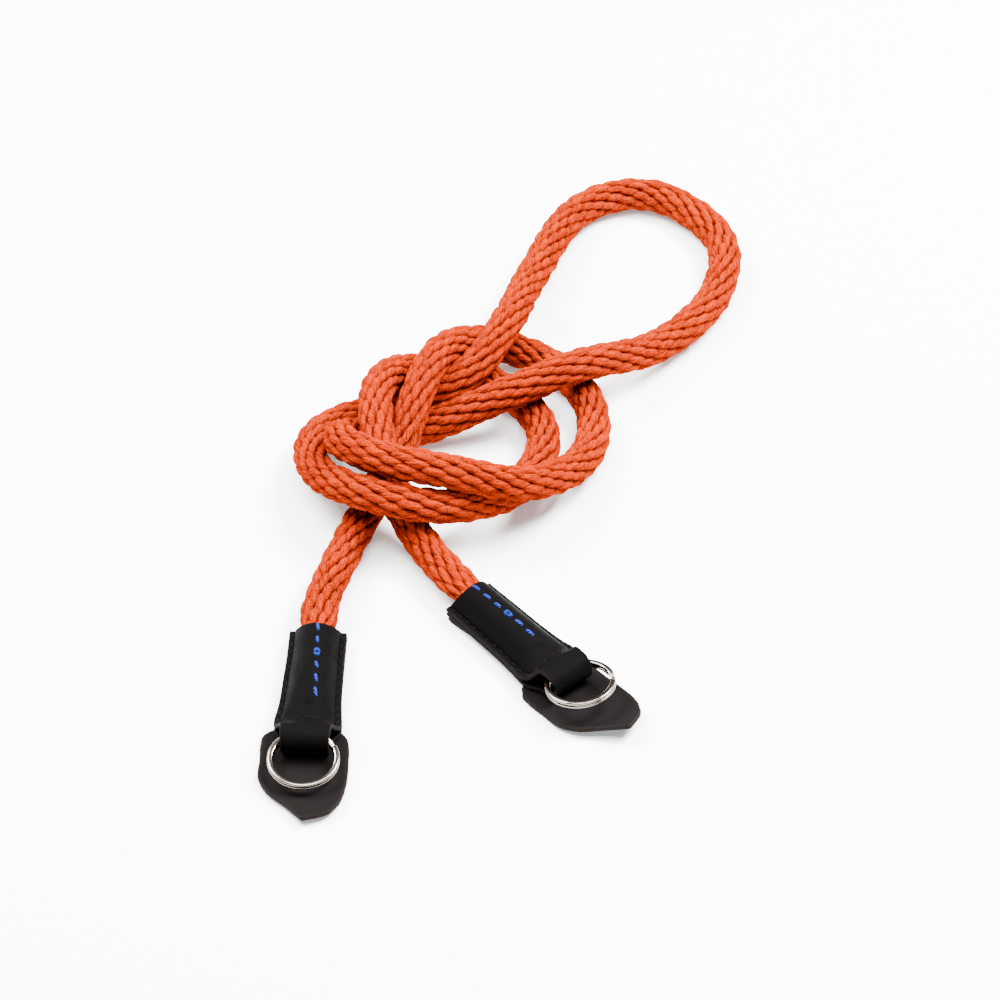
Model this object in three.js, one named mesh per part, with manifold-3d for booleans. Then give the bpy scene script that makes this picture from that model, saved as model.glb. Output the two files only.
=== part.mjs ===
// A camera neck strap: a braided rope lying in a loose knot, each end sewn into a leather
// sleeve whose folded loop carries a steel split ring over a leather wear pad.
// Millimetres, +Z up, the floor at z = 0. Each leather end is drawn in its own frame:
// x runs from the sleeve's mouth to the pad's tip, y across, z up.
import * as THREE from "three";
import { mergeVertices } from "three/addons/utils/BufferGeometryUtils.js";
import Module from "manifold-3d";

const wasm = await Module();
wasm.setup();

// Driving dimensions
const CLEARANCE = 0.3; // between neighbouring pieces
const ROPE_DIAMETER = 9.6;
const ROPE_SIDES = 10;
const ROPE_STEPS = 80;
const ROPE_PRESSED = 0.62; // height of the rope inside a sleeve, as a share of its diameter
const ROPE_TAPER = 14; // length before the mouth over which the rope goes from round to pressed
const ROPE_ENTRY = 2.5; // the rope is fully pressed this far before the mouth
const ROPE_DEPTH = 28; // how far the rope runs into a sleeve
const LEATHER = 1.3; // the sleeve's wall
const SLEEVE_LENGTH = 38; // from the mouth to the cross stitching
const SLEEVE_WIDTH = 15.8; // at the mouth, over the sewn edges
const SLEEVE_BELLY = 18.6; // at the cross stitching
const SLEEVE_PINCH = 7.4; // height of the leather at the cross stitching, over the floor
const MOUTH_SETBACK = 2.4; // how far the mouth's upper edge lies behind its corners
const LOOP_WIDTH = 14;
const LOOP_LENGTH = 8.6; // from the cross stitching to the fold's outside
const FOLD_WIDTH = 12.8;
const PAD_THICKNESS = 1.5;
const PAD_WIDTH = 24;
const PAD_TAIL_WIDTH = 15.4;
const PAD_REACH = 68.4; // from the mouth to the pad's tip
const PAD_START = 0.8; // how far the pad begins behind the mouth
const CURL_START = 45; // where the pad starts to curl up
const RING_DIAMETER = 20;
const RING_BAND = 1.6; // radial width of the ring's section
const RING_HEIGHT = 2.1; // the two coils of the ring together
const RING_GROOVE = 0.35; // depth of the groove between the coils

// The two leather ends: the mouth's place on the floor, the end's heading, the pad's width as
// a share, the lift of its tip, how far the ring hangs behind the fold's centre and how far
// its outer side is tipped up from level.
const ENDS = [
  { tag: "a", x: -51.4, y: -58.5, heading: -92.9, share: 1, curl: 1.6, back: 0.3, tipped: -4 },
  { tag: "b", x: -9.1, y: -43.9, heading: -49.9, share: 0.93, curl: 4.5, back: 1, tipped: 10 },
];

// The rope's route between the two mouths, chosen by hand: over and under through the knot.
const ROUTE = [
  [-51.4, -52, 6.6], [-45.8, -30, 5.4], [-35.8, -2.5, 5.5], [-28.8, 13, 11.4],
  [-23.6, 29.5, 18.6], [-16.5, 47.5, 17.6], [-2.5, 60.3, 7.8], [16, 53, 5.3],
  [27.2, 35, 5.3], [25.5, 12, 6.6], [8, -10.3, 16.4], [-14, -14.3, 25.2],
  [-34, -9.2, 25.4], [-46.2, 3, 21], [-44.2, 18, 9.6], [-26, 23.8, 5.4],
  [-1, 28.6, 14.4], [23, 40.5, 16.6], [47, 58.5, 7.8], [66, 84.5, 5.3],
  [69, 112, 5.3], [48, 133.8, 5.3], [26.5, 127.5, 5.3], [9.4, 87.5, 10.3],
  [2, 59, 17.4], [-10.5, 40.2, 12.6], [-32.5, 34.2, 5.4], [-53.5, 23.5, 5.6],
  [-54.6, 3, 10.4], [-38.5, -17, 19], [-15.5, -19.3, 16], [6, 0, 5.8],
  [13.2, 23, 5.3], [1, 42.5, 5.3], [-20, 50.2, 5.7], [-34.6, 35.6, 16.4],
  [-36, 9, 18.8], [-29.4, -12.5, 10.9], [-19.2, -29.5, 5.5], [-12.4, -39.6, 6.6],
];

// What follows from the driving dimensions
const ropeRadius = ROPE_DIAMETER / 2;
const sleeveFloor = PAD_THICKNESS + CLEARANCE; // underside of the sleeve
const boreHalfHeight = ropeRadius * ROPE_PRESSED + CLEARANCE;
const boreHalfWidth = ropeRadius + CLEARANCE;
const boreHeight = sleeveFloor + LEATHER + boreHalfHeight; // centre of the rope in the sleeve
const edgeTop = sleeveFloor + 2 * LEATHER; // the two layers sewn flat along the edges
const sleeveTop = boreHeight + boreHalfHeight + LEATHER;
const ringRadius = (RING_DIAMETER - RING_BAND) / 2; // centre of the ring's section
const ringSag = ringRadius - Math.sqrt(ringRadius ** 2 - (LOOP_WIDTH / 2) ** 2);
const ringOffset = ringRadius - ringSag / 2; // from the swing axis to the ring's centre
const eyeRadius = Math.hypot(ringSag / 2 + RING_BAND / 2, RING_HEIGHT / 2) + CLEARANCE;
const foldRadius = eyeRadius + LEATHER;
const foldCentre = SLEEVE_LENGTH + LOOP_LENGTH - foldRadius;
const axisZ = sleeveFloor + foldRadius; // height of the ring's swing axis

const rope = new THREE.MeshStandardMaterial({ color: 0xf2602f, roughness: 0.9, metalness: 0 });
const leather = new THREE.MeshStandardMaterial({ color: 0x1b191a, roughness: 0.55, metalness: 0 });
const steel = new THREE.MeshStandardMaterial({ color: 0xcfccc6, roughness: 0.22, metalness: 1 });

function solidOf(geometry) {
  const bare = geometry.index ? geometry.toNonIndexed() : geometry.clone();
  bare.deleteAttribute("normal");
  bare.deleteAttribute("uv");
  const merged = mergeVertices(bare, 1e-4);
  return new wasm.Manifold(
    new wasm.Mesh({
      numProp: 3,
      vertProperties: new Float32Array(merged.attributes.position.array),
      triVerts: new Uint32Array(merged.index.array),
    }),
  );
}

function geometryOf(solid) {
  const mesh = solid.getMesh();
  const geometry = new THREE.BufferGeometry();
  geometry.setAttribute("position", new THREE.BufferAttribute(mesh.vertProperties, 3));
  geometry.setIndex(new THREE.BufferAttribute(mesh.triVerts, 1));
  return geometry;
}

// A closed skin over sections of equal count, each running anticlockwise seen from +x.
function loft(sections) {
  const count = sections[0].length;
  const points = sections.flat();
  const faces = [];
  for (let i = 0; i + 1 < sections.length; i++) {
    for (let j = 0; j < count; j++) {
      const a = i * count + j;
      const b = i * count + ((j + 1) % count);
      faces.push(a, b, b + count, a, b + count, a + count);
    }
  }
  const last = (sections.length - 1) * count;
  const cap = (offset, flip) => {
    const flat = sections[offset / count].map((p) => new THREE.Vector2(p.y, p.z));
    for (const [a, b, c] of THREE.ShapeUtils.triangulateShape(flat, [])) {
      faces.push(...(flip ? [c, b, a] : [a, b, c]).map((k) => offset + k));
    }
  };
  cap(0, true);
  cap(last, false);
  const geometry = new THREE.BufferGeometry().setFromPoints(points);
  geometry.setIndex(faces);
  return geometry;
}

// Reads a table of rows [x, ...values] at x, easing from row to row.
function readTable(table, x) {
  const last = table.length - 1;
  if (x <= table[0][0]) return table[0].slice(1);
  if (x >= table[last][0]) return table[last].slice(1);
  const i = table.findIndex((row) => row[0] > x) - 1;
  const span = table[i + 1][0] - table[i][0];
  const t = (x - table[i][0]) / span;
  return table[i].slice(1).map((value, k) => {
    const before = table[Math.max(i - 1, 0)];
    const after = table[Math.min(i + 2, last)];
    const slopeIn = ((table[i + 1][k + 1] - before[k + 1]) / (table[i + 1][0] - before[0])) * span;
    const slopeOut = ((after[k + 1] - value) / (after[0] - table[i][0])) * span;
    const next = table[i + 1][k + 1];
    return (2 * t ** 3 - 3 * t ** 2 + 1) * value + (t ** 3 - 2 * t ** 2 + t) * slopeIn +
      (3 * t ** 2 - 2 * t ** 3) * next + (t ** 3 - t ** 2) * slopeOut;
  });
}

// Sleeve stations: share of the length to the cross stitching; half width, height of the sewn
// edge and height of the ridge over the rope.
const SLEEVE_TABLE = [
  [0, SLEEVE_WIDTH / 2, edgeTop, sleeveTop],
  [0.3, SLEEVE_WIDTH / 2, edgeTop, sleeveTop],
  [0.68, SLEEVE_WIDTH / 2 + 0.12 * (SLEEVE_BELLY - SLEEVE_WIDTH), edgeTop, sleeveTop],
  [0.86, SLEEVE_WIDTH / 2 + 0.38 * (SLEEVE_BELLY - SLEEVE_WIDTH), edgeTop, 0.8 * sleeveTop],
  [1, SLEEVE_BELLY / 2, edgeTop + 0.3 * (SLEEVE_PINCH - edgeTop), SLEEVE_PINCH],
].map(([share, ...rest]) => [share * SLEEVE_LENGTH, ...rest]);
const loopTop = axisZ + foldRadius;
const neckWidth = LOOP_WIDTH / 2;

// Loop stations from the cross stitching on: the strap narrows before it reaches the ring.
function loopTable(axisX) {
  const room = axisX - RING_HEIGHT / 2 - 3 * CLEARANCE - SLEEVE_LENGTH;
  const halfway = 0.4 * neckWidth + 0.3 * SLEEVE_BELLY;
  return [
    [SLEEVE_LENGTH + 0.5 * room, halfway, 0.62 * loopTop, 0.86 * loopTop],
    [SLEEVE_LENGTH + room, neckWidth, 0.88 * loopTop, 0.96 * loopTop],
    [foldCentre - CLEARANCE, LOOP_WIDTH / 2, loopTop, loopTop],
  ];
}

function sleeveSection(x, halfWidth, edge, ridge, floor, setback) {
  const points = [];
  const across = 9;
  for (let k = 0; k < across - 1; k++) {
    const y = halfWidth * (2 * (k / (across - 1)) - 1);
    points.push(new THREE.Vector3(x, y, floor));
  }
  points.push(new THREE.Vector3(x, halfWidth, floor));
  const ridgeHalf = Math.min(boreHalfWidth + LEATHER, halfWidth - 0.4);
  const top = 20;
  for (let k = 0; k <= top; k++) {
    const inner = k - 1;
    const onRidge = inner >= 0 && inner <= top - 2;
    const angle = (Math.PI * inner) / (top - 2);
    const y = onRidge ? ridgeHalf * Math.cos(angle) : halfWidth * (k ? -1 : 1);
    const rise = onRidge ? (ridge - edge) * Math.sin(angle) ** 0.8 : 0;
    points.push(new THREE.Vector3(x + (setback * rise) / (sleeveTop - edgeTop), y, edge + rise));
  }
  return points;
}

function sleeveBody(axisX) {
  const table = [...SLEEVE_TABLE, ...loopTable(axisX)];
  const sections = [];
  const stations = 26;
  for (let i = 0; i <= stations; i++) {
    const x = ((foldCentre - CLEARANCE) * i) / stations;
    const setback = Math.max(0, MOUTH_SETBACK - x / 3);
    sections.push(sleeveSection(x, ...readTable(table, x), sleeveFloor, setback));
  }
  const turns = 9;
  for (let i = 0; i < turns; i++) {
    const angle = (Math.PI / 2) * (i / turns);
    const half = foldRadius * Math.cos(angle);
    const width = THREE.MathUtils.lerp(LOOP_WIDTH, FOLD_WIDTH, i / turns) / 2;
    const x = foldCentre + foldRadius * Math.sin(angle);
    sections.push(sleeveSection(x, width, axisZ + half, axisZ + half, axisZ - half, 0));
  }
  return solidOf(loft(sections));
}

// The pressed rope's bore, open at the mouth.
function ropeBore() {
  const oval = new THREE.Shape();
  oval.absellipse(0, 0, boreHalfHeight, boreHalfWidth, 0, Math.PI * 2);
  const bore = new THREE.ExtrudeGeometry(oval, {
    depth: ROPE_DEPTH + CLEARANCE + ROPE_TAPER,
    bevelEnabled: false,
    curveSegments: 8,
  });
  bore.rotateY(Math.PI / 2);
  bore.translate(-ROPE_TAPER, 0, boreHeight);
  return solidOf(bore);
}

// The loop's eye: a slot with round ends right through the folded strap.
function ringEye(axisX) {
  const slot = new THREE.Shape();
  slot.absarc(axisX, axisZ, eyeRadius, Math.PI / 2, (3 * Math.PI) / 2);
  slot.absarc(foldCentre, axisZ, eyeRadius, -Math.PI / 2, Math.PI / 2);
  const eye = new THREE.ExtrudeGeometry(slot, {
    depth: 2 * SLEEVE_BELLY,
    bevelEnabled: false,
    curveSegments: 14,
  });
  eye.rotateX(Math.PI / 2);
  eye.translate(0, SLEEVE_BELLY, 0);
  return solidOf(eye);
}

function sleeveGeometry(axisX) {
  return geometryOf(sleeveBody(axisX).subtract(ropeBore()).subtract(ringEye(axisX)));
}

// Pad outline: share of the reach; left and right half width as shares of half the pad's
// width. The tail under the sleeve is narrower and ends at the cross stitching.
const tail = PAD_TAIL_WIDTH / PAD_WIDTH;
const neck = (SLEEVE_LENGTH - 2) / PAD_REACH;
const PAD_TABLE = [
  [PAD_START / PAD_REACH, tail, tail],
  [neck - 0.05, tail, tail],
  [neck - 0.02, 1.1 * tail, 1.08 * tail],
  [neck, 0.9, 0.8],
  [neck + 0.03, 1.03, 0.91],
  [neck + 0.08, 1.04, 0.975],
  [0.8, 0.97, 0.98],
  [0.86, 0.75, 0.945],
  [0.924, 0.34, 0.81],
  [0.978, 0.04, 0.48],
  [1, -0.08, 0.12],
].map(([share, ...rest]) => [share * PAD_REACH, ...rest]);

const padLift = (x, curl) => {
  const share = Math.max(0, x - CURL_START) / (PAD_REACH - CURL_START);
  return curl * share ** 2;
};

function padGeometry(widthShare, curl) {
  const sections = [];
  const stations = 44;
  for (let i = 0; i <= stations; i++) {
    const share = i / stations;
    const x = PAD_START + (PAD_REACH - PAD_START) * (1 - (1 - share) ** 1.5);
    const [left, right] = readTable(PAD_TABLE, x);
    const z = padLift(x, curl);
    const wide = x < neck * PAD_REACH ? 1 : widthShare;
    const low = (-left * wide * PAD_WIDTH) / 2;
    const high = (right * wide * PAD_WIDTH) / 2;
    sections.push([
      new THREE.Vector3(x, low, z),
      new THREE.Vector3(x, high, z),
      new THREE.Vector3(x, high, z + PAD_THICKNESS),
      new THREE.Vector3(x, low, z + PAD_THICKNESS),
    ]);
  }
  return loft(sections);
}

// The split ring: two coils of wire lying on each other, drawn as one turned section.
function ringGeometry() {
  const half = RING_BAND / 2;
  const coil = RING_HEIGHT / 2;
  const soft = 0.3 * half;
  const side = [
    [half - soft, -coil],
    [half, -coil + soft],
    [half, -soft],
    [half - RING_GROOVE, 0],
    [half, soft],
    [half, coil - soft],
    [half - soft, coil],
  ];
  const profile = [...side, ...side.map(([r, z]) => [-r, z]).reverse()];
  const points = profile.map(([r, z]) => new THREE.Vector2(ringRadius + r, z));
  points.push(points[0].clone());
  const ring = new THREE.LatheGeometry(points, 40);
  ring.rotateX(Math.PI / 2);
  return ring;
}

// The rope lies straight and pressed in a sleeve, and never below the floor.
const ease = (x) => THREE.MathUtils.smoothstep(x, -ROPE_TAPER, -ROPE_ENTRY);

function settle(point, frames) {
  point.z = Math.max(point.z, ropeRadius);
  for (const frame of frames) {
    const local = point.clone().applyMatrix4(frame.inverse);
    const near = ease(local.x);
    if (!near || Math.abs(local.y) > SLEEVE_WIDTH / 2) continue;
    local.y *= 1 - near;
    local.z = THREE.MathUtils.lerp(local.z, boreHeight, near);
    point.copy(local.applyMatrix4(frame.matrix));
  }
  return point;
}

function ropeGeometry(frames) {
  const inner = frames.map(({ matrix }) =>
    new THREE.Vector3(ROPE_DEPTH, 0, boreHeight).applyMatrix4(matrix),
  );
  const chosen = ROUTE.map((p) => new THREE.Vector3(...p));
  const free = new THREE.CatmullRomCurve3([inner[0], ...chosen, inner[1]], false, "centripetal");
  const laid = free.getSpacedPoints(4 * ROPE_STEPS).map((p) => settle(p, frames));
  const path = new THREE.CatmullRomCurve3(laid, false, "centripetal");
  const section = new THREE.Shape();
  for (let k = 0; k < ROPE_SIDES; k++) {
    const angle = (2 * Math.PI * k) / ROPE_SIDES;
    const x = ropeRadius * Math.cos(angle);
    const y = ropeRadius * Math.sin(angle);
    if (k) section.lineTo(x, y);
    else section.moveTo(x, y);
  }
  section.closePath();
  const tube = new THREE.ExtrudeGeometry(section, { steps: ROPE_STEPS, extrudePath: path });
  const spots = tube.attributes.position;
  const spot = new THREE.Vector3();
  for (let i = 0; i < spots.count; i++) {
    spot.fromBufferAttribute(spots, i);
    for (const { matrix, inverse } of frames) {
      const local = spot.clone().applyMatrix4(inverse);
      if (local.x < -ROPE_TAPER || Math.abs(local.y) > SLEEVE_WIDTH) continue;
      const squeeze = THREE.MathUtils.lerp(1, ROPE_PRESSED, ease(local.x));
      local.z = boreHeight + (local.z - boreHeight) * squeeze;
      spot.copy(local.applyMatrix4(matrix));
    }
    spots.setXYZ(i, spot.x, spot.y, Math.max(spot.z, 0));
  }
  return tube;
}

function place(name, geometry, material, parent) {
  const mesh = new THREE.Mesh(geometry, material);
  mesh.name = name;
  parent.add(mesh);
}

const strap = new THREE.Group();
const frames = [];
for (const { tag, x, y, heading, share, curl, back, tipped } of ENDS) {
  const axisX = foldCentre - back;
  const end = new THREE.Group();
  end.position.set(x, y, 0);
  end.rotation.z = THREE.MathUtils.degToRad(heading);
  end.updateMatrix();
  frames.push({ matrix: end.matrix.clone(), inverse: end.matrix.clone().invert() });
  place("sleeve_" + tag, sleeveGeometry(axisX), leather, end);
  place("pad_" + tag, padGeometry(share, curl), leather, end);
  const swing = new THREE.Group();
  swing.position.set(axisX, 0, axisZ);
  swing.rotation.y = -THREE.MathUtils.degToRad(tipped);
  const ring = new THREE.Group();
  ring.position.x = ringOffset;
  place("ring_" + tag, ringGeometry(), steel, ring);
  swing.add(ring);
  end.add(swing);
  strap.add(end);
}

// The origin: on the floor, under the middle of the two leather ends.
strap.updateMatrixWorld(true);
const middle = new THREE.Box3().setFromObject(strap, true).getCenter(new THREE.Vector3());
strap.position.set(-middle.x, -middle.y, 0);
place("rope", ropeGeometry(frames), rope, strap);

export default strap;
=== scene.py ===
import math
import random
import bpy
import numpy as np
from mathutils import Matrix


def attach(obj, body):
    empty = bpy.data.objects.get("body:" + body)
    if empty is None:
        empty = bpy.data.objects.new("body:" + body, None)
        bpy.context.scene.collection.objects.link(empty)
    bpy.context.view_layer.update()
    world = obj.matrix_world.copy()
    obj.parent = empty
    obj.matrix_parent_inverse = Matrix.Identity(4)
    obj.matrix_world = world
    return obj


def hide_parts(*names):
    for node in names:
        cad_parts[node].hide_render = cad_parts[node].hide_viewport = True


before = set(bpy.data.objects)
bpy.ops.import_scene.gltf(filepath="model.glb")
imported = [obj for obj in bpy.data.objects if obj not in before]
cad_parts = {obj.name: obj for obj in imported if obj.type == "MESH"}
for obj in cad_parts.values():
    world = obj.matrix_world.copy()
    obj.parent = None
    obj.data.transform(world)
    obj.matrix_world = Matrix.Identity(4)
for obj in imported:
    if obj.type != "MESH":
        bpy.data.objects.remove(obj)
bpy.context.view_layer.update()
print("frame loaded")

# Sizes that several pieces share, in metres and as the CAD has them. The route and the mouths are
# measured from the middle of the rope's plan, and each end from its own mouth.
origin = np.array([0.013765, 0.082848, 0.0])  # that middle, in the part's frame
leatherThick = 0.0013
leatherRim = 0.0003  # how far the rounded rim of a piece of leather stands out
sleeveFloor = 0.0018  # underside of the sleeve
ropeRadius = 0.0053
pressedShare = 0.59  # height of the rope inside a sleeve, as a share of its diameter
boreHeight = 0.006376  # centre of the rope in the sleeve
axisHeight = 0.006033  # the ring's swing axis
foldRadius = 0.004233  # outside of the fold that carries the ring
foldCentre = 0.042367  # that fold's centre, along the end
ringOffset = 0.007585  # from the swing axis to the ring's centre

# Each end: the mouth's place and heading, the ring's axis along the end, its tip in degrees and where its
# wire starts, the pad's curl and share of width. Then the blue row: its pitch, its place across at the
# first and the last stitch, and the stitch that has pulled open.
ends = {
    "a": dict(
        x=-0.0514, y=-0.0585, heading=-92.9, axisX=0.042067, tipped=-4, wireStart=2.3,
        curl=0.0016, share=1.0, seam=0.00486, drift=(0.0004, 0.0017), loose=2,
    ),
    "b": dict(
        x=-0.0091, y=-0.0439, heading=-49.9, axisX=0.041367, tipped=10, wireStart=1.1,
        curl=0.0045, share=0.93, seam=0.0046, drift=(-0.0003, 0.0001), loose=3,
    ),
}
for end in ends.values():
    turn = math.radians(end["heading"])
    end["mouth"] = np.array([end["x"], end["y"], 0.0]) + origin
    end["along"] = np.array([math.cos(turn), math.sin(turn), 0.0])
    end["across"] = np.array([-math.sin(turn), math.cos(turn), 0.0])


# Points given along, across and up from an end's mouth, in the part's frame.
def toPart(end, points):
    points = np.asarray(points, float)
    up = points[..., 2:] * np.array([0.0, 0.0, 1.0])
    return end["mouth"] + points[..., :1] * end["along"] + points[..., 1:2] * end["across"] + up


# The reverse: points of the part's frame, along, across and up from an end's mouth.
def toEnd(end, points):
    shifted = np.asarray(points, float) - end["mouth"]
    return np.stack([shifted @ end["along"], shifted @ end["across"], shifted[..., 2]], -1)


# Camera, at the photograph's angle
elevation = math.radians(44)
cameraDistance = 1.2
camera = bpy.data.cameras.new("camera")
camera.lens = 146.9
camera.sensor_width = 36
camera.clip_start = 0.05
camera.clip_end = 20
cameraObject = bpy.data.objects.new("camera", camera)
bpy.context.scene.collection.objects.link(cameraObject)
backwards = np.array([0.0, -math.cos(elevation), math.sin(elevation)])
cameraObject.location = origin + cameraDistance * backwards
cameraObject.rotation_euler = (math.pi / 2 - elevation, 0, 0)
bpy.context.scene.camera = cameraObject
print("camera set")


# A mesh from points and faces, smooth, riding on a body, with the CAD nodes it stands for, and any map or
# values for its material.
def addPiece(name, points, faces, material, body, replaced=(), uv=None, values=None):
    mesh = bpy.data.meshes.new(name)
    mesh.from_pydata(np.asarray(points, float).tolist(), [], [tuple(f) for f in faces])
    mesh.polygons.foreach_set("use_smooth", np.ones(len(mesh.polygons), bool))
    corners = np.empty(len(mesh.loops), int)
    mesh.loops.foreach_get("vertex_index", corners)
    if uv is not None:
        layer = mesh.uv_layers.new(name="weave")
        layer.data.foreach_set("uv", np.asarray(uv, float)[corners].ravel())
    for key, value in (values or {}).items():
        attribute = mesh.attributes.new(key, "FLOAT", "POINT")
        attribute.data.foreach_set("value", np.asarray(value, float).ravel())
    mesh.materials.append(material)
    mesh.update()
    piece = bpy.data.objects.new(name, mesh)
    bpy.context.scene.collection.objects.link(piece)
    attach(piece, body)
    if replaced:
        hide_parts(*replaced)
    return piece


# Faces of a tube with a pole vertex behind each end. The vertex of a ring and a side is number ring *
# sides + side.
def tubeFaces(rings, sides, first=0):
    faces = []
    for i in range(rings - 1):
        for j in range(sides):
            a, b = first + i * sides + j, first + i * sides + (j + 1) % sides
            faces.append((a, b, b + sides, a + sides))
    start, end = first + rings * sides, first + rings * sides + 1
    last = first + (rings - 1) * sides
    for j in range(sides):
        faces.append((first + (j + 1) % sides, first + j, start))
        faces.append((last + j, last + (j + 1) % sides, end))
    return faces


# Directions carried along a line without twisting: each normal is the last, made square to the new tangent.
def carriedFrames(line):
    tangent = np.gradient(line, axis=0)
    tangent /= np.linalg.norm(tangent, axis=1)[:, None]
    normal = np.zeros_like(line)
    carried = np.cross(tangent[0], [0.0, 1.0, 0.0])
    carried = carried if np.linalg.norm(carried) > 0.1 else np.cross(tangent[0], [0.0, 0.0, 1.0])
    for i, t in enumerate(tangent):
        carried = carried - t * (carried @ t)
        carried = carried / np.linalg.norm(carried)
        normal[i] = carried
    return normal, np.cross(tangent, normal)


# A closed slab round a middle surface: half the thickness to each side along its normal, with a rounded
# rim. Also returns how worn each vertex is: 1 on the rim, a little next to it.
def slab(mid, thick, rim):
    ni, nj = mid.shape[:2]
    du, dv = np.gradient(mid, axis=0), np.gradient(mid, axis=1)
    normal = np.cross(du, dv)
    normal /= np.linalg.norm(normal, axis=2)[:, :, None]
    ring = [(i, 0) for i in range(ni)] + [(ni - 1, j) for j in range(1, nj)]
    ring += [(i, nj - 1) for i in range(ni - 2, -1, -1)] + [(0, j) for j in range(nj - 2, 0, -1)]
    ri, rj = np.array(ring).T
    edge, edgeNormal = mid[ri, rj], normal[ri, rj]
    tangent = np.roll(edge, -1, 0) - np.roll(edge, 1, 0)
    out = np.cross(tangent, edgeNormal)
    out /= np.linalg.norm(out, axis=1)[:, None]
    if np.sum(out * (edge - mid.mean((0, 1)))) < 0:
        out = -out
    points = [(mid + normal * thick / 2).reshape(-1, 3), (mid - normal * thick / 2).reshape(-1, 3)]
    steps = [(0.62, 0.86), (1.0, 0.45), (1.0, -0.45), (0.62, -0.86)]
    points += [edge + out * rim * reach + edgeNormal * thick / 2 * side for reach, side in steps]
    top, bottom = 0, ni * nj
    loops = [ri * nj + rj + top] + [2 * ni * nj + k * len(ring) + np.arange(len(ring)) for k in range(4)]
    loops.append(ri * nj + rj + bottom)
    faces = []
    for i in range(ni - 1):
        for j in range(nj - 1):
            a = i * nj + j
            faces.append((a, a + nj, a + nj + 1, a + 1))
            faces.append((bottom + a, bottom + a + 1, bottom + a + nj + 1, bottom + a + nj))
    for low, high in zip(loops[:-1], loops[1:]):
        for k in range(len(ring)):
            n = (k + 1) % len(ring)
            faces.append((low[k], high[k], high[n], low[n]))
    worn = np.zeros(2 * ni * nj + 4 * len(ring))
    worn[2 * ni * nj:] = 1
    worn[loops[0]] = worn[loops[-1]] = 0.35
    points = np.concatenate(points)
    return points, outward(points, faces), worn


# Faces turned to look outwards, by the sign of the volume they enclose.
def outward(points, faces):
    quads = [f for f in faces if len(f) == 4]
    tris = [f for f in faces if len(f) == 3]
    tris += [(q[0], q[1], q[2]) for q in quads] + [(q[0], q[2], q[3]) for q in quads]
    a, b, c = (points[np.array(tris)[:, k]] for k in range(3))
    return faces if np.sum(a * np.cross(b, c)) > 0 else [tuple(reversed(f)) for f in faces]


# 0 below low, 1 above high, and t squared times (3 - 2 t) between them.
def easeBetween(low, high, x):
    t = np.clip((x - low) / (high - low), 0, 1)
    return t * t * (3 - 2 * t)


# Shader arithmetic: a Value wraps a socket, and + - * on it add Math nodes.
class Value:
    def __init__(self, tree, socket):
        self.tree, self.socket = tree, socket

    def math(self, operation, other=None, flip=False):
        made = self.tree.nodes.new("ShaderNodeMath")
        made.operation = operation
        pair = [self, other] if not flip else [other, self]
        for slotIndex, item in enumerate(p for p in pair if p is not None):
            plug(self.tree, made.inputs[slotIndex], item)
        return Value(self.tree, made.outputs[0])

    def __add__(self, other):
        return self.math("ADD", other)

    def __radd__(self, other):
        return self.math("ADD", other, True)

    def __sub__(self, other):
        return self.math("SUBTRACT", other)

    def __rsub__(self, other):
        return self.math("SUBTRACT", other, True)

    def __mul__(self, other):
        return self.math("MULTIPLY", other)

    def __rmul__(self, other):
        return self.math("MULTIPLY", other, True)

    def clamped(self):
        return self.math("MAXIMUM", 0.0).math("MINIMUM", 1.0)


# Links a Value to a socket, or sets the socket to a number, a vector or a colour.
def plug(tree, socket, item):
    if isinstance(item, Value):
        tree.links.new(item.socket, socket)
    elif isinstance(item, (tuple, list)) and len(item) == 3 and socket.type == "RGBA":
        socket.default_value = (*item, 1.0)
    else:
        socket.default_value = item


# A material: constants go on its shader, and any other node comes from node().
class Paint:
    def __init__(self, name, **constants):
        self.material = bpy.data.materials.new(name)
        self.material.use_nodes = True
        self.tree = self.material.node_tree
        self.shader = self.tree.nodes["Principled BSDF"]
        for key, value in constants.items():
            plug(self.tree, self.shader.inputs[key.replace("_", " ")], value)

    def node(self, kind, settings=None, inputs=None, output=0):
        made = self.tree.nodes.new("ShaderNode" + kind)
        for key, value in (settings or {}).items():
            setattr(made, key, value)
        for key, value in (inputs or {}).items():
            plug(self.tree, made.inputs[key], value)
        return Value(self.tree, made.outputs[output])

    def mix(self, low, high, share):
        return self.node("Mix", dict(data_type="RGBA"), {0: share, 6: low, 7: high}, 2)

    def attribute(self, name):
        return self.node("Attribute", dict(attribute_name=name), output=2)

    def place(self, scale=1.0):
        spot = self.node("TexCoord", output=3)
        return self.node("Mapping", inputs={"Vector": spot, "Scale": (scale, scale, scale)})

    def bump(self, height, distance, strength=1.0):
        settings = {"Height": height, "Distance": distance, "Strength": strength}
        plug(self.tree, self.shader.inputs["Normal"], self.node("Bump", inputs=settings))

    def paint(self, **links):
        for key, value in links.items():
            plug(self.tree, self.shader.inputs[key.replace("_", " ")], value)
        return self.material
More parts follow.
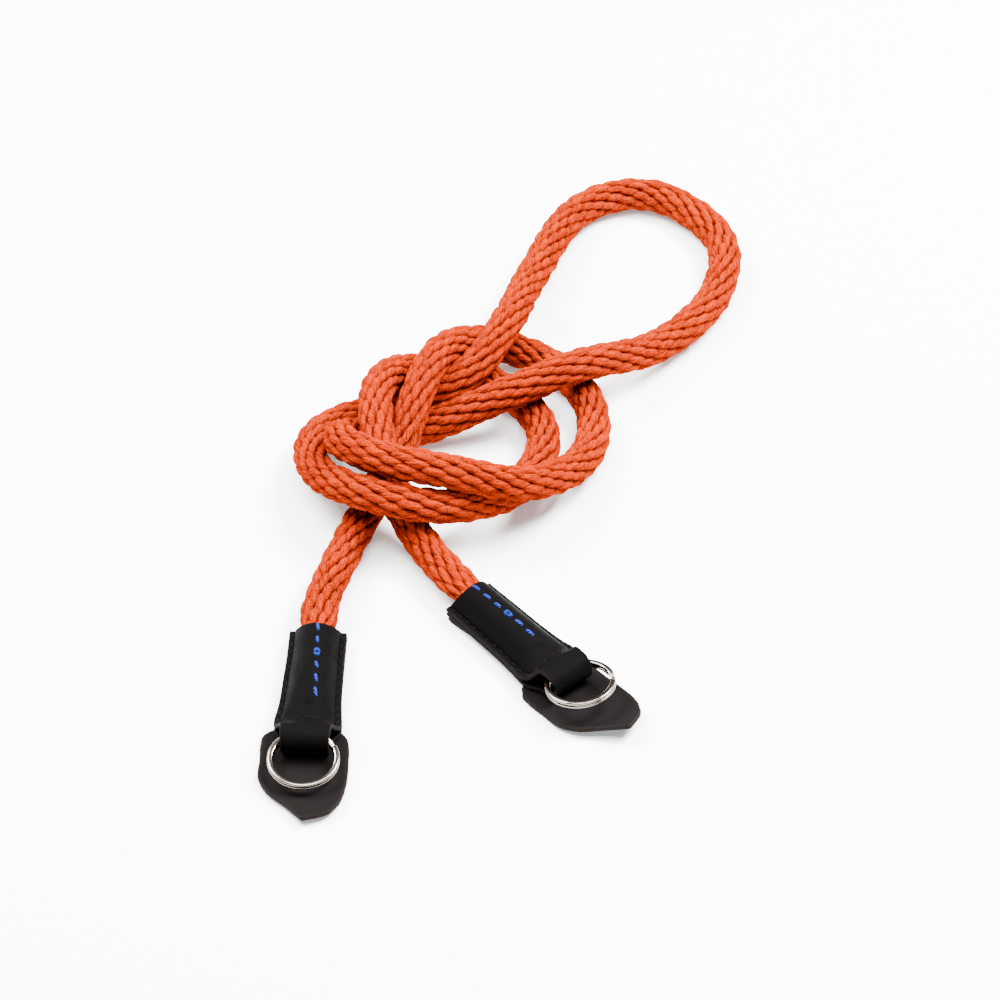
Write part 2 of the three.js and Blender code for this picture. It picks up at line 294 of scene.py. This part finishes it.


# Cotton of the rope: fibres run askew along each stitch, and what lies low between the stitches is painted in
# shade.
# The last colour is painted shade, for what lies between the stitches and for the core.
ropeLook = dict(
    light=(0.29, 0.019, 0.0008), mid=(0.080, 0.0028, 0.0001), paintedShade=(0.012, 0.0003, 0.0), fibre=0.0011,
    fibreTurn=0.42, fibreSize=(0.34, 0.058, 1.0), fuzz=2000.0,
)
rope = Paint("rope", Roughness=0.95, Specular_IOR_Level=0.0)
weave = rope.node("UVMap", dict(uv_map="weave"))
fibreSpot = rope.node(
    "Mapping", dict(vector_type="TEXTURE"),
    {"Vector": weave, "Rotation": (0, 0, ropeLook["fibreTurn"]), "Scale": ropeLook["fibreSize"]},
)
fibres = rope.node("TexNoise", inputs={"Vector": fibreSpot, "Scale": 1.0, "Detail": 3.0, "Roughness": 0.6})
fuzz = rope.node("TexNoise", inputs={"Vector": rope.place(ropeLook["fuzz"]), "Scale": 1.0, "Detail": 2.0})
tone = rope.attribute("tone")
# sunk: how low a point lies between the stitches, which sets how much painted shade it gets
sunk = rope.attribute("sunk")
shade = (tone * 0.3 + fibres * 2.8 + fuzz * 1.3 - 1.55).clamped()
bright = rope.mix(ropeLook["mid"], ropeLook["light"], shade)
rope.bump(fibres + fuzz * 0.7, ropeLook["fibre"])
ropePaint = rope.paint(Base_Color=rope.mix(bright, ropeLook["paintedShade"], (sunk * 1.1).clamped()))

leatherLook = dict(
    sleeve=dict(gloss=0.011, face=(0.0013, 0.0011, 0.0011), worn=(0.006, 0.0048, 0.0042)),
    pad=dict(gloss=0.022, face=(0.0028, 0.0023, 0.0021), worn=(0.009, 0.0072, 0.0063)),
    grain=0.00005, pores=1500.0, cloud=220.0,
)


# Black leather: fine pores and a slow cloud in the bump, browner where the edges are worn.
def leatherOf(name):
    look = leatherLook[name]
    leather = Paint(name + " leather", Specular_IOR_Level=look["gloss"])
    speckle = {"Vector": leather.place(), "Scale": leatherLook["pores"]}
    pores = leather.node("TexVoronoi", dict(feature="F1"), speckle)
    spread = {"Vector": leather.place(), "Scale": leatherLook["cloud"], "Detail": 4.0}
    cloud = leather.node("TexNoise", inputs=spread)
    worn = leather.attribute("worn")
    leather.bump(pores + cloud * 0.8, leatherLook["grain"], 0.8)
    rubbed = (worn * (cloud * 0.9 + 0.2)).clamped()
    colour = leather.mix(look["face"], look["worn"], rubbed)
    return leather.paint(Base_Color=colour, Roughness=cloud * 0.3 + 0.55)


sleevePaint, padPaint = leatherOf("sleeve"), leatherOf("pad")

# Black thread, blue thread of twisted ply strands whose light and dark bands are painted highlight and shade,
# and nickelled steel with faint smudges.
thread = Paint("thread", Roughness=0.7, Specular_IOR_Level=0.03)
threadPaint = thread.paint(Base_Color=(0.0015, 0.0013, 0.0013))

blue = Paint("blue thread", Roughness=0.6, Specular_IOR_Level=0.12)
blueWeave = blue.node("UVMap", dict(uv_map="weave"))
blueSpot = blue.node("Mapping", inputs={"Vector": blueWeave, "Rotation": (0, 0, 0.9)})
pliesAndPaintedLight = blue.node("TexWave", dict(bands_direction="X"), {"Vector": blueSpot, "Scale": 1.5, "Distortion": 0.6})
blue.bump(pliesAndPaintedLight, 0.00025)
# The bands give the thread its bump relief, and in the colour they are painted highlight and shade, from dark
# to light blue.
bluePaint = blue.paint(Base_Color=blue.mix((0.0, 0.002, 0.03), (0.001, 0.019, 0.24), pliesAndPaintedLight))

steel = Paint("steel", Metallic=1.0)
smudge = steel.node("TexNoise", inputs={"Vector": steel.place(), "Scale": 300.0, "Detail": 3.0})
steelPaint = steel.paint(Base_Color=(0.150, 0.126, 0.107), Roughness=smudge * 0.14 + 0.10)
print("materials made")

# Rope: a braid of nine leaning wales of stitches round a core, along the CAD's route.
ropeLook.update(
    wales=9, pitch=0.0048, lean=22.0, stitchRings=11, stitchSides=10, blocks=9,
    coreRadius=0.0039, coreRings=900, coreSides=12, end=0.0004,
    halfLength=0.92, halfWidth=0.50, halfHeight=0.47, slip=0.18, dip=0.00125, leastRadius=0.0016,
)
# Along an end, before its mouth: where the rope starts to straighten and is straight, where the sleeve
# starts to grip it and holds it, how far aside a point is still taken in, and how much it swells and is
# held in width.
mouthLook = dict(
    start=-0.014, straight=-0.0025, grip=-0.0045, held=0.0005, lineAside=0.0079, ropeAside=0.012,
    swell=0.08, squeeze=0.15,
)
ropeDepth = 0.028  # how far the rope goes into a sleeve
# The route's points as the CAD has them.
route = [
    (-0.0514, -0.052, 0.0066), (-0.0458, -0.03, 0.0054), (-0.0358, -0.0025, 0.0055),
    (-0.0288, 0.013, 0.0114), (-0.0236, 0.0295, 0.0186), (-0.0165, 0.0475, 0.0176),
    (-0.0025, 0.0603, 0.0078), (0.016, 0.053, 0.0053), (0.0272, 0.035, 0.0053),
    (0.0255, 0.012, 0.0066), (0.008, -0.0103, 0.0164), (-0.014, -0.0143, 0.0252),
    (-0.034, -0.0092, 0.0254), (-0.0462, 0.003, 0.021), (-0.0442, 0.018, 0.0096),
    (-0.026, 0.0238, 0.0054), (-0.001, 0.0286, 0.0144), (0.023, 0.0405, 0.0166),
    (0.047, 0.0585, 0.0078), (0.066, 0.0845, 0.0053), (0.069, 0.112, 0.0053),
    (0.048, 0.1338, 0.0053), (0.0265, 0.1275, 0.0053), (0.0094, 0.0875, 0.0103),
    (0.002, 0.059, 0.0174), (-0.0105, 0.0402, 0.0126), (-0.0325, 0.0342, 0.0054),
    (-0.0535, 0.0235, 0.0056), (-0.0546, 0.003, 0.0104), (-0.0385, -0.017, 0.019),
    (-0.0155, -0.0193, 0.016), (0.006, 0.0, 0.0058), (0.0132, 0.023, 0.0053),
    (0.001, 0.0425, 0.0053), (-0.02, 0.0502, 0.0057), (-0.0346, 0.0356, 0.0164),
    (-0.036, 0.009, 0.0188), (-0.0294, -0.0125, 0.0109), (-0.0192, -0.0295, 0.0055),
    (-0.0124, -0.0396, 0.0066),
]


# Centripetal Catmull-Rom: knots spaced by the root of each chord, cubic Hermite between them.
def throughPoints(points, perSpan=24):
    p = np.vstack([2 * points[0] - points[1], points, 2 * points[-1] - points[-2]])
    t = np.linspace(0, 1, perSpan, endpoint=False)[:, None]
    spans = []
    for a, b, c, d in zip(p[:-3], p[1:-2], p[2:-1], p[3:]):
        k0, k1, k2 = (np.linalg.norm(v) ** 0.5 for v in (b - a, c - b, d - c))
        m1 = ((b - a) / k0 - (c - a) / (k0 + k1) + (c - b) / k1) * k1
        m2 = ((c - b) / k1 - (d - b) / (k1 + k2) + (d - c) / k2) * k1
        fromStart = (2 * t**3 - 3 * t**2 + 1) * b + (t**3 - 2 * t**2 + t) * m1
        spans.append(fromStart + (3 * t**2 - 2 * t**3) * c + (t**3 - t**2) * m2)
    return np.vstack(spans + [points[-1:]])


# The same line with its points a step apart, and the run at each of them.
def evenly(line, step):
    run = np.concatenate([[0], np.cumsum(np.linalg.norm(np.diff(line, axis=0), axis=1))])
    at = np.linspace(0, run[-1], int(run[-1] / step) + 1)
    return np.stack([np.interp(at, run, line[:, k]) for k in range(3)], 1), at


# Each point as a bell-weighted mean of its neighbours, with the line carried on past its ends by a half
# turn.
def softened(line, spread):
    reach = int(3 * spread)
    weight = np.exp(-0.5 * (np.arange(-reach, reach + 1) / spread) ** 2)
    padded = np.vstack([2 * line[0] - line[reach:0:-1], line, 2 * line[-1] - line[-2:-reach - 2:-1]])
    return np.stack([np.convolve(padded[:, k], weight / weight.sum(), "valid") for k in range(3)], 1)


# 0 away from a mouth, 1 where the rope is straight, for points in an end's own directions.
def nearMouth(local, aside):
    ease = easeBetween(mouthLook["start"], mouthLook["straight"], local[..., 0])
    return ease * (np.abs(local[..., 1]) < aside)


# In a sleeve the rope runs straight at the bore's height, and nowhere does it go below the floor.
def laidDown(line):
    line = line.copy()
    line[:, 2] = np.maximum(line[:, 2], ropeRadius + 0.0001)
    for end in ends.values():
        local = toEnd(end, line)
        near = nearMouth(local, mouthLook["lineAside"])
        local[:, 1] *= 1 - near
        local[:, 2] += (boreHeight - local[:, 2]) * near
        line = np.where(near[:, None] > 0, toPart(end, local), line)
    return line


innerEnds = [toPart(ends[tag], [ropeDepth, 0.0, boreHeight]) for tag in "ab"]
chosen = np.vstack([innerEnds[0], np.array(route) + origin, innerEnds[1]])
line, _ = evenly(throughPoints(chosen), 0.001)
line = laidDown(softened(line, 3.5))
line, run = evenly(softened(line, 1.5), 0.0005)
normal, binormal = carriedFrames(line)
ropeLength = float(run[-1])
print("rope runs", round(ropeLength, 4), "m")


# Point of the rope at run s, angle phi and radius r: the line's point plus r times (cos(phi) normal +
# sin(phi) binormal), pressed flat in the sleeves, swollen before the mouths and held inside them.
def onRope(s, phi, r):
    spot = [np.stack([np.interp(s, run, v[:, k]) for k in range(3)], -1) for v in (line, normal, binormal)]
    points = spot[0] + r[..., None] * (np.cos(phi)[..., None] * spot[1] + np.sin(phi)[..., None] * spot[2])
    for end in ends.values():
        local = toEnd(end, points)
        near = nearMouth(local, mouthLook["ropeAside"])
        local[..., 2] = boreHeight + (local[..., 2] - boreHeight) * (1 - near * (1 - pressedShare))
        gripped = easeBetween(mouthLook["grip"], mouthLook["held"], local[..., 0])
        local[..., 1] *= 1 + mouthLook["swell"] * near - mouthLook["squeeze"] * gripped * near
        points = np.where(near[..., None] > 0, toPart(end, local), points)
    points[..., 2] = np.maximum(points[..., 2], 0.00005)
    return points


# The rings of a tube on the rope, then a pole in the middle of its first and its last ring.
def tubePoints(s, phi, r):
    rings = onRope(s, phi, r)
    poles = [rings[0].mean(0), rings[-1].mean(0)]
    return np.vstack([rings.reshape(-1, 3), poles])


coreRings, coreSides = ropeLook["coreRings"], ropeLook["coreSides"]
coreRun = np.linspace(ropeLook["end"], ropeLength - ropeLook["end"], coreRings)[:, None]
coreRun = coreRun + np.zeros((1, coreSides))
coreAngle = np.linspace(0, 2 * np.pi, coreSides, endpoint=False)[None, :] + np.zeros((coreRings, 1))
corePoints = tubePoints(coreRun, coreAngle, np.full((coreRings, coreSides), ropeLook["coreRadius"]))
coreFaces = outward(corePoints, tubeFaces(coreRings, coreSides))
full = np.ones(len(corePoints))
# The core is painted all over in the shade colour, as it lies in the shade under the stitches.
core = addPiece(
    "rope_core", corePoints, coreFaces, ropePaint, "strap", ["rope"],
    uv=np.zeros((len(corePoints), 2)), values=dict(tone=full * 0, sunk=full),
)

# A stitch of the braid, for t from -1 to 1 along it and theta round it, over the unrolled rope: it
# reaches half its length times t along, half its width times cos(theta) across less a slip by the sine of
# t, and it dips under the surface with the cube of t, less half its height times sin(theta).
random.seed(11)
lean = math.radians(ropeLook["lean"])
walePitch = 2 * math.pi * ropeRadius / ropeLook["wales"] * math.cos(lean)
t = np.linspace(-1, 1, ropeLook["stitchRings"])[:, None]
theta = np.linspace(0, 2 * np.pi, ropeLook["stitchSides"], endpoint=False)[None, :] - np.pi / 2
taper = 0.60 + 0.40 * np.cos(t * np.pi / 2) ** 0.8
perWale = int(ropeLength / math.cos(lean) / ropeLook["pitch"])
blocks = [dict(points=[], faces=[], uv=[], tone=[], sunk=[], count=0) for _ in range(ropeLook["blocks"])]
for wale in range(ropeLook["wales"]):
    phase = (wale * 0.5) % 1 + 0.12 * math.sin(wale)
    for k in range(perWale):
        middle = (k + 0.5 + 0.5 * phase + random.uniform(-0.05, 0.05)) * ropeLook["pitch"]
        size = random.uniform(0.94, 1.06)
        halfWidth = ropeLook["halfWidth"] * walePitch * taper * size
        halfHeight = ropeLook["halfHeight"] * walePitch * taper * size
        along = middle + ropeLook["halfLength"] * ropeLook["pitch"] * t + 0 * theta
        slip = ropeLook["slip"] * walePitch * np.sin(np.pi * t / 2) * random.uniform(0.7, 1.3)
        across = halfWidth * np.cos(theta) - slip
        depth = ropeLook["dip"] * np.abs(t) ** 3 + random.uniform(-0.00008, 0.00008) + 0 * theta
        r = ropeRadius - ropeLook["halfHeight"] * walePitch - depth + halfHeight * np.sin(theta)
        s = along * math.cos(lean) - across * math.sin(lean)
        if s.min() < 0.0002 or s.max() > ropeLength - 0.0002:
            continue
        around = (across * math.cos(lean) + along * math.sin(lean)) / ropeRadius
        phi = wale * 2 * math.pi / ropeLook["wales"] + around
        block = blocks[min(int(s.mean() / ropeLength * len(blocks)), len(blocks) - 1)]
        made = tubePoints(s, phi, np.maximum(r, ropeLook["leastRadius"]))
        block["points"].append(made)
        block["faces"] += tubeFaces(ropeLook["stitchRings"], ropeLook["stitchSides"], block["count"])
        block["count"] += len(made)
        shift = random.uniform(0, 40)
        lengthwise = t * 0.5 + shift + 0 * theta
        crosswise = (theta + np.pi / 2) / (2 * np.pi) + shift + 0 * t
        u = np.stack([lengthwise, crosswise], -1).reshape(-1, 2)
        block["uv"].append(np.vstack([u, u[:1], u[-1:]]))
        block["tone"].append(np.full(len(made), random.uniform(0.1, 1.0)))
        # Painted shade: the lower a point of the stitch lies, the more it takes the shade colour; the end
        # poles take it fully.
        low = np.clip((ropeRadius - 0.0005 - r) / 0.0017, 0, 1).ravel()
        block["sunk"].append(np.append(low, [1.0, 1.0]))
for index, block in enumerate(blocks):
    points = np.vstack(block["points"])
    values = dict(tone=np.concatenate(block["tone"]), sunk=np.concatenate(block["sunk"]))
    faces = outward(points, block["faces"])
    uv = np.vstack(block["uv"])
    piece = addPiece("braid_%d" % index, points, faces, ropePaint, "strap", uv=uv, values=values)
toPart(ends["a"], [0.006, 0.0, boreHeight]).tolist()
print("rope braided:", sum(len(block["faces"]) for block in blocks), "faces")

# Leather sleeves: one strip from the mouth over the rope, round the fold and back underneath.
sleeveLook = dict(
    topRows=78, foldRows=22, lowRows=34, across=45, flange=0.0018, edge=0.0038, crown=0.0065, setback=0.0026,
    dent=0.0007, dentAt=0.0325, dentLong=0.0019, dentWide=0.0022, foldHalf=0.0068, foldWaist=0.0004,
    ahead=1.7, gap=0.0003,
)
# Stations of the sleeve's upper layer: along, half width, and the height of the leather's middle at the
# edge and at the ridge.
sleeveRows = np.array([
    (0.000, 0.0079, 0.0038, 0.0103), (0.012, 0.0080, 0.0038, 0.0103), (0.025, 0.0083, 0.0038, 0.0102),
    (0.030, 0.0087, 0.0038, 0.0095), (0.034, 0.0091, 0.0041, 0.0085), (0.0362, 0.0091, 0.0046, 0.0081),
    (0.0378, 0.0086, 0.0056, 0.0083), (0.0390, 0.0078, 0.0072, 0.0088), (0.0400, 0.0071, 0.0089, 0.0093),
    (0.0411, 0.0069, 0.0095, 0.0096), (0.042367, 0.0068, 0.0096, 0.0096),
])


# Smooth reading of a table: piecewise cubic through the rows, slopes from the neighbours.
def readRows(rows, x):
    slopes = np.gradient(rows[:, 1:], rows[:, 0], axis=0)
    i = np.clip(np.searchsorted(rows[:, 0], x) - 1, 0, len(rows) - 2)
    span = rows[i + 1, 0] - rows[i, 0]
    f = ((x - rows[i, 0]) / span)[:, None]
    span = span[:, None]
    return ((2 * f**3 - 3 * f**2 + 1) * rows[i, 1:] + (f**3 - 2 * f**2 + f) * span * slopes[i]
            + (3 * f**2 - 2 * f**3) * rows[i + 1, 1:] + (f**3 - f**2) * span * slopes[i + 1])


# Cross-section from one edge to the other, softened: over v from -1 to 1 between the flanges, the edge's
# height plus the ridge's rise times cos(pi v / 2) to the power 0.6.
def sleeveSection(halfWidth, edge, ridge, count):
    y = np.linspace(halfWidth, -halfWidth, 200)
    v = np.clip(y / (halfWidth - sleeveLook["flange"]), -1, 1)
    z = edge + (ridge - edge) * np.abs(np.cos(v * math.pi / 2)) ** 0.6
    section, _ = evenly(np.column_stack([y, z, 0 * y]), 0.0001)
    section = softened(section, 4.0)
    pick = np.linspace(0, len(section) - 1, count)
    return np.stack([np.interp(pick, np.arange(len(section)), section[:, k]) for k in (0, 1)], 1)


# The strip's middle surface, row by row. The neck ends before the place where the ring swings, so the
# stations of its upper layer are read a little ahead.
def sleeveMiddle(end, seed):
    wobble = random.Random(seed)
    swell = [wobble.uniform(-0.00012, 0.00012) for _ in range(6)]
    rows = []
    top = np.linspace(0, foldCentre, sleeveLook["topRows"])
    shorter = sleeveLook["ahead"] * (foldCentre - sleeveLook["gap"] - end["axisX"])
    ahead = shorter * easeBetween(0.030, 0.036, top)
    for x, (halfWidth, edge, ridge) in zip(top, readRows(sleeveRows, np.minimum(top + ahead, foldCentre))):
        halfWidth += sum(a * math.sin(x * (90 + 70 * n) + n) for n, a in enumerate(swell)) * 0.5
        section = sleeveSection(halfWidth, edge, ridge, sleeveLook["across"])
        rise = np.clip((section[:, 1] - sleeveLook["edge"]) / sleeveLook["crown"], 0, 1)
        setback = max(0.0, sleeveLook["setback"] - x / 3) * rise
        fromDent = ((x - sleeveLook["dentAt"]) / sleeveLook["dentLong"]) ** 2
        dent = sleeveLook["dent"] * np.exp(-(fromDent + (section[:, 0] / sleeveLook["dentWide"]) ** 2))
        rows.append(np.column_stack([x + setback, section[:, 0], section[:, 1] - dent]))
    bend = foldRadius - leatherThick / 2
    for turn in np.linspace(0, math.pi, sleeveLook["foldRows"])[1:-1]:
        halfWidth = sleeveLook["foldHalf"] - sleeveLook["foldWaist"] * math.sin(turn)
        y = np.linspace(halfWidth, -halfWidth, sleeveLook["across"])
        x, z = foldCentre + bend * math.sin(turn), axisHeight + bend * math.cos(turn)
        rows.append(np.column_stack([x + 0 * y, y, z + 0 * y]))
    below = np.linspace(foldCentre, 0.0002, sleeveLook["lowRows"])
    for x, (halfWidth, _, _) in zip(below, readRows(sleeveRows, below)):
        y = np.linspace(halfWidth, -halfWidth, sleeveLook["across"])
        rows.append(np.column_stack([x + 0 * y, y, np.full(len(y), sleeveFloor + leatherThick / 2)]))
    return np.array(rows)


# Leather pads: a flat tail under the sleeve, then a wide tip that curls up a little.
padLook = dict(
    thick=0.0015, start=0.0008, end=0.0684, rows=90, across=25, tip=0.036, curlFrom=0.045, bow=0.0004,
)
# Along the pad, then its half width to each side.
padRows = np.array([
    (0.0008, 0.0077, 0.0077), (0.0330, 0.0077, 0.0077), (0.0348, 0.0086, 0.0084), (0.0360, 0.0105, 0.0096),
    (0.0375, 0.0121, 0.0107), (0.0400, 0.0125, 0.0114), (0.0460, 0.0123, 0.0118), (0.0547, 0.0116, 0.0118),
    (0.0588, 0.0091, 0.0113), (0.0632, 0.0041, 0.0097), (0.0669, 0.0005, 0.0058), (0.0684, -0.0009, 0.0014),
])


# The pad's middle surface: rows closer together towards the tip, lifted with the square of the way along
# the curl and of the way out to the sides.
def padMiddle(end):
    s = np.linspace(0, 1, padLook["rows"])
    x = padLook["start"] + (padLook["end"] - padLook["start"]) * (1 - (1 - s) ** 1.5)
    widths = readRows(padRows, x)
    widths[x > padLook["tip"]] *= end["share"]
    v = np.linspace(0, 1, padLook["across"])[None, :]
    y = -widths[:, :1] * (1 - v) + widths[:, 1:] * v
    curled = np.clip((x - padLook["curlFrom"]) / (padLook["end"] - padLook["curlFrom"]), 0, 1)
    lift = end["curl"] * curled[:, None] ** 2
    bow = padLook["bow"] * (y / 0.012) ** 2 * easeBetween(0.044, 0.06, x)[:, None]
    z = padLook["thick"] / 2 + lift + bow + 0 * y
    return np.stack([x[:, None] + 0 * y, y, z], -1)


# A leather piece: the slab round its middle surface.
def addLeather(kind, tag, middle, thick, paint):
    points, faces, wornValues = slab(middle, thick, leatherRim)
    inPlace, values = toPart(ends[tag], points), dict(worn=wornValues)
    node = kind + "_" + tag
    addPiece(kind + "_leather_" + tag, inPlace, faces, paint, "strap", [node], values=values)


# Sewing: the blue row over the rope, and the black rows along both edges and across the neck.
sewLook = dict(
    rings=9, sides=10, above=0.00007, blueFirst=0.0040, blueCount=6, blueRadius=0.00047, eye=0.0007,
    edgeFirst=0.0022, edgeCount=12, edgePitch=0.003, edgeHalf=0.0011, edgeInset=0.0010, edgeRadius=0.00034,
    crossAt=0.0368, crossCount=5,
)


# A sewn stitch lying on a surface, as a tube from start to stop. For t from -1 to 1 along it, its radius
# goes with the root of (1 - t to the fourth), and it sinks by sunk times the radius times the cube of t.
def stitch(start, stop, radius, rings, sides, reach=0.985, sunk=0.9):
    start, stop, up = np.asarray(start, float), np.asarray(stop, float), np.array([0.0, 0.0, 1.0])
    side = np.cross(stop - start, up)
    side /= np.linalg.norm(side)
    t = np.linspace(-1, 1, rings)[:, None]
    at = reach * t[:, :, None]
    angle = np.linspace(0, 2 * math.pi, sides, endpoint=False)[None, :, None]
    middle = (start + stop) / 2 + (stop - start) / 2 * at
    full = radius * (1 - np.abs(at) ** 4) ** 0.5
    sink = radius * sunk * np.abs(at) ** 3
    points = middle + full * (np.cos(angle) * side + np.sin(angle) * up) - sink * up
    poles = [start - up * radius * sunk, stop - up * radius * sunk]
    u = np.stack(np.broadcast_arrays(t * 0.5 + 0.5, np.arange(sides)[None, :] / sides), -1)
    return np.vstack([points.reshape(-1, 3), poles]), np.vstack([u.reshape(-1, 2), [(0, 0), (1, 0)]])


# All the stitches of a row, each from a start to a stop, as one piece.
def sewnRow(name, end, seams, radius, material):
    points, faces, uv, count = [], [], [], 0
    stitchFaces = tubeFaces(sewLook["rings"], sewLook["sides"])
    for start, stop in seams:
        made, u = stitch(start, stop, radius, sewLook["rings"], sewLook["sides"])
        points.append(made)
        faces += [tuple(i + count for i in f) for f in outward(made, stitchFaces)]
        uv.append(u)
        count += len(made)
    inPlace = toPart(end, np.vstack(points))
    return addPiece(name, inPlace, faces, material, "strap", uv=np.vstack(uv))


# Split rings: wire wound twice, the coils face to face, stepping over each other near the wire's ends.
ringLook = dict(
    radius=0.0092, width=0.0016, height=0.00105, step=26.0, cut=0.55, squareness=0.75, fill=0.97,
    rings=300, sides=18,
)


# The wire's middle goes round twice and climbs by its own height over the step half way. Its section is a
# rounded square: cosine and sine to the power of the squareness.
def ringPoints(end):
    gap, squareness = math.radians(ringLook["step"]), ringLook["squareness"]
    w = np.linspace(gap * ringLook["cut"], 4 * math.pi - gap * ringLook["cut"], ringLook["rings"])
    z = (easeBetween(2 * math.pi - gap / 2, 2 * math.pi + gap / 2, w) - 0.5) * ringLook["height"]
    angle = np.linspace(0, 2 * math.pi, ringLook["sides"], endpoint=False)
    c, s = np.cos(angle), np.sin(angle)
    across = np.sign(c) * np.abs(c) ** squareness * ringLook["width"] / 2
    upward = np.sign(s) * np.abs(s) ** squareness * ringLook["height"] / 2 * ringLook["fill"]
    turn = (w + end["wireStart"])[:, None]
    radial = ringLook["radius"] + across[None, :]
    local = np.stack([radial * np.cos(turn), radial * np.sin(turn), z[:, None] + upward[None, :]], -1)
    local = np.vstack([local.reshape(-1, 3), local[0].mean(0), local[-1].mean(0)])
    tip = math.radians(end["tipped"])
    out = ringOffset + local[:, 0]
    x = end["axisX"] + out * math.cos(tip) - local[:, 2] * math.sin(tip)
    z = axisHeight + out * math.sin(tip) + local[:, 2] * math.cos(tip)
    return np.stack([x, local[:, 1], z], -1)


for tag, end in ends.items():
    middle = sleeveMiddle(end, tag)
    addLeather("sleeve", tag, middle, leatherThick, sleevePaint)
    addLeather("pad", tag, padMiddle(end), padLook["thick"], padPaint)

    # A place just above the sleeve's upper face.
    def onTop(x, y):
        row = middle[int(round(x / foldCentre * (sleeveLook["topRows"] - 1)))]
        return (x, y, np.interp(-y, -row[:, 1], row[:, 2]) + leatherThick / 2 + sewLook["above"])

    seams = []
    eye, (firstAside, lastAside) = sewLook["eye"], end["drift"]
    for k in range(sewLook["blueCount"]):
        x = sewLook["blueFirst"] + k * end["seam"]
        y = firstAside + (lastAside - firstAside) * k / (sewLook["blueCount"] - 1)
        half, slant = random.uniform(0.0014, 0.0018), random.uniform(0.0001, 0.0005)
        corners = [(x - half, y - slant), (x + half, y + slant)]
        if k == end["loose"]:  # pulled open into an eye
            corners = [(x - half, y), (x, y + eye), (x + half, y), (x, y - eye), (x - half, y)]
        seams += [(onTop(*start), onTop(*stop)) for start, stop in zip(corners, corners[1:])]
    sewnRow("blue_stitches_" + tag, end, seams, sewLook["blueRadius"], bluePaint)

    seams = []
    half, pitch = sewLook["edgeHalf"], sewLook["edgePitch"]
    for k in range(sewLook["edgeCount"]):
        x = sewLook["edgeFirst"] + k * pitch
        halfWidth = readRows(sleeveRows, np.array([x]))[0][0]
        for side in (1, -1):
            y = side * (halfWidth - sewLook["edgeInset"])
            seams.append((onTop(x - half, y), onTop(x + half, y)))
    for k in range(sewLook["crossCount"]):
        x, y = sewLook["crossAt"], (k - sewLook["crossCount"] // 2) * pitch
        seams.append((onTop(x, y - half), onTop(x, y + half)))
    sewnRow("edge_stitches_" + tag, end, seams, sewLook["edgeRadius"], threadPaint)

    points = ringPoints(end)
    faces = outward(points, tubeFaces(ringLook["rings"], ringLook["sides"]))
    ring = "ring_" + tag
    addPiece("ring_wire_" + tag, toPart(end, points), faces, steelPaint, ring, [ring])
print("leather ends and rings made")

# Floor and light
floorLook = dict(
    Roughness=0.75, Specular_IOR_Level=0.2, Emission_Color=(1.0, 1.0, 1.0), Emission_Strength=0.35,
)
floorPaint = Paint("floor", **floorLook).paint(Base_Color=(0.94, 0.94, 0.945))
floorMesh = bpy.data.meshes.new("floor")
floorHeight = -0.0001  # a hair below the part
floorCorners = [(-3, -3, floorHeight), (3, -3, floorHeight), (3, 3, floorHeight), (-3, 3, floorHeight)]
floorMesh.from_pydata(floorCorners, [], [(0, 1, 2, 3)])
floorMesh.materials.append(floorPaint)
floor = bpy.data.objects.new("floor", floorMesh)
bpy.context.scene.collection.objects.link(floor)


# A soft lamp of that size at a place round the picture's middle, aimed at it.
def softLamp(name, place, size, watts):
    lamp = bpy.data.lights.new(name, "AREA")
    lamp.shape, lamp.size, lamp.size_y = "RECTANGLE", size[0], size[1]
    lamp.energy = watts
    lampObject = bpy.data.objects.new(name, lamp)
    bpy.context.scene.collection.objects.link(lampObject)
    spot = np.array(place, float)
    lampObject.location = spot + origin
    away = spot / np.linalg.norm(spot)
    lampObject.rotation_euler = (math.acos(away[2]), 0, math.atan2(away[1], away[0]) + math.pi / 2)


softLamp("right box", (0.55, 0.25, 0.85), (0.45, 0.45), 84.0)
softLamp("left box", (-0.6, 0.35, 0.8), (0.6, 0.5), 56.0)
softLamp("top box", (0.0, -0.1, 1.2), (0.8, 0.8), 56.0)
world = bpy.data.worlds.new("room")
bpy.context.scene.world = world
world.use_nodes = True
world.node_tree.nodes["Background"].inputs["Color"].default_value = (1.0, 1.0, 1.0, 1.0)
world.node_tree.nodes["Background"].inputs["Strength"].default_value = 0.4
print("floor and lights set")
